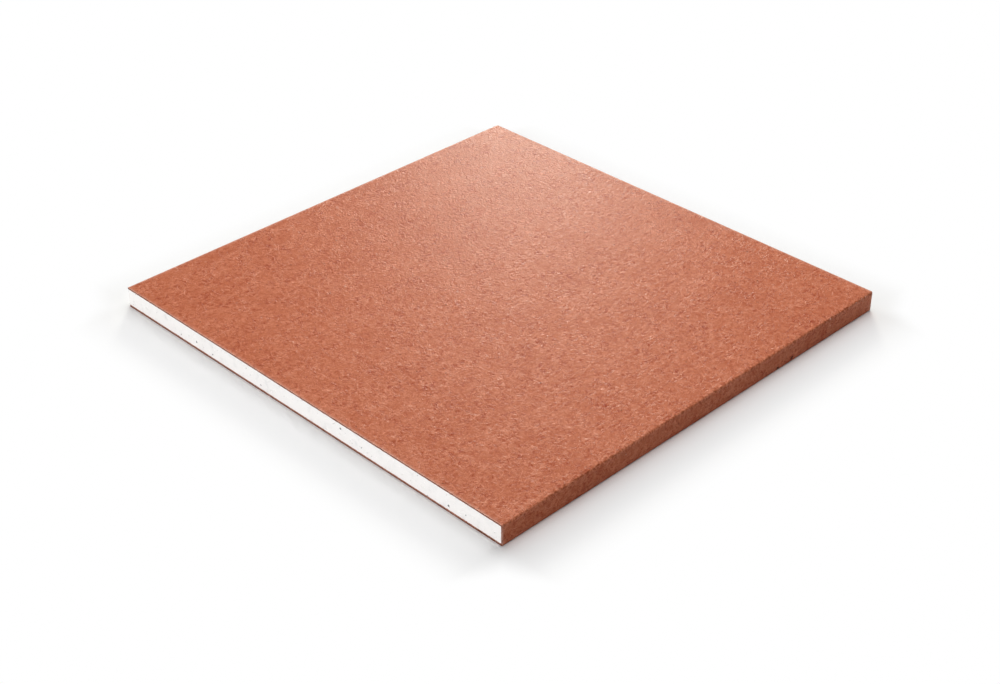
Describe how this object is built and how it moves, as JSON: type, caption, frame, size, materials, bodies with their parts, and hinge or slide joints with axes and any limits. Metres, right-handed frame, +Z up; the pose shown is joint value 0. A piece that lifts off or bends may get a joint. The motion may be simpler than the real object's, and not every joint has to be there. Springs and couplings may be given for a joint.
{
  "type": "drywall sheet",
  "caption": "Flat square of drywall: a white gypsum core between rust-red papers, the face paper wrapped round one factory edge, the other edges sawn.",
  "frame": {"origin": "middle of the underside, on the surface that the board lies on", "axes": "+X along the factory edge, +Y from the factory edge to the sawn edge opposite, +Z up through the board's thickness, face paper up"},
  "size_m": [0.295, 0.3, 0.0125],
  "materials": {
    "gypsum": "matt sawn gypsum with fine air pores",
    "face_paper": "matt rust-red paper with mottled fibres",
    "back_paper": "matt rust-red paper with mottled fibres"
  },
  "bodies": {
    "root": {"gypsum_core": "gypsum", "face_paper": "face_paper", "back_paper": "back_paper"}
  },
  "joints": []
}
